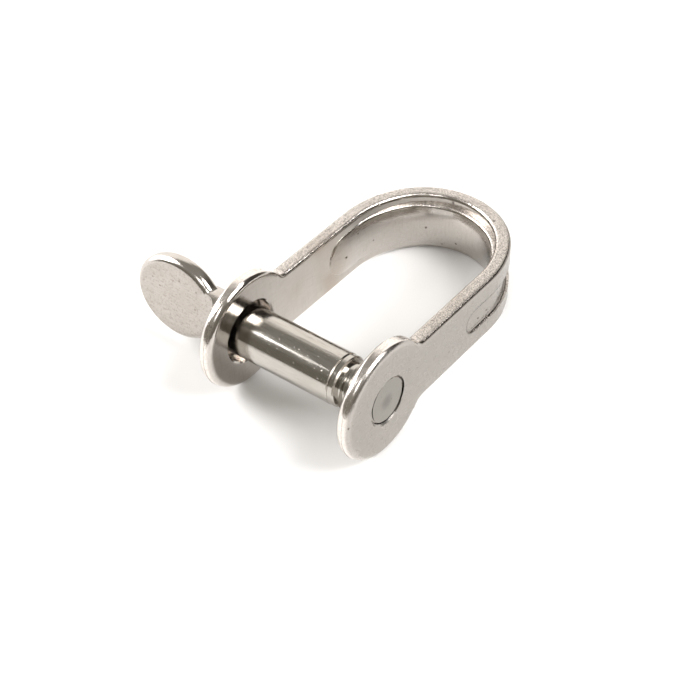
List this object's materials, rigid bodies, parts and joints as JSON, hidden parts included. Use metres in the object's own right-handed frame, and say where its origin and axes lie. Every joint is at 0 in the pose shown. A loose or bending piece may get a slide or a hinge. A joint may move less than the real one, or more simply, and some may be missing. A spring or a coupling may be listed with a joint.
{
  "type": "bow shackle",
  "caption": "Pressed-strip shackle: a beaded U-shaped strip with two round ears, closed by a screw pin with an oval thumb paddle.",
  "frame": {"origin": "on the pin's axis, midway between the inner faces of the two ears", "axes": "+X along the pin, from the paddle toward the threaded ear; +Y from the pin toward the bow; +Z across the width of the strip"},
  "size_m": [0.0289, 0.0312, 0.0116],
  "materials": {
    "pressed_strip": "tumbled stainless steel, satin faces with polished edges",
    "turned_pin": "turned and polished stainless steel, with satin paddle faces"
  },
  "bodies": {
    "strip": {"bow_strip": "pressed_strip"},
    "drawn_pin": {"pin_shank": "turned_pin"},
    "turned_pin": {"pin_head": "turned_pin", "pin_thread": "turned_pin"}
  },
  "joints": [
    {"name": "pin_draw", "type": "slide", "parent": "strip", "child": "drawn_pin", "axis": [1, 0, 0], "range_m": [-0.0156, 0]},
    {"name": "pin_turn", "type": "hinge", "parent": "drawn_pin", "child": "turned_pin", "pos_m": [0, 0, 0], "axis": [1, 0, 0], "range_deg": [-7021, 0]}
  ],
  "couplings": [
    {"joint": "pin_turn", "follows": "pin_draw", "rad_per_m": 7854}
  ]
}
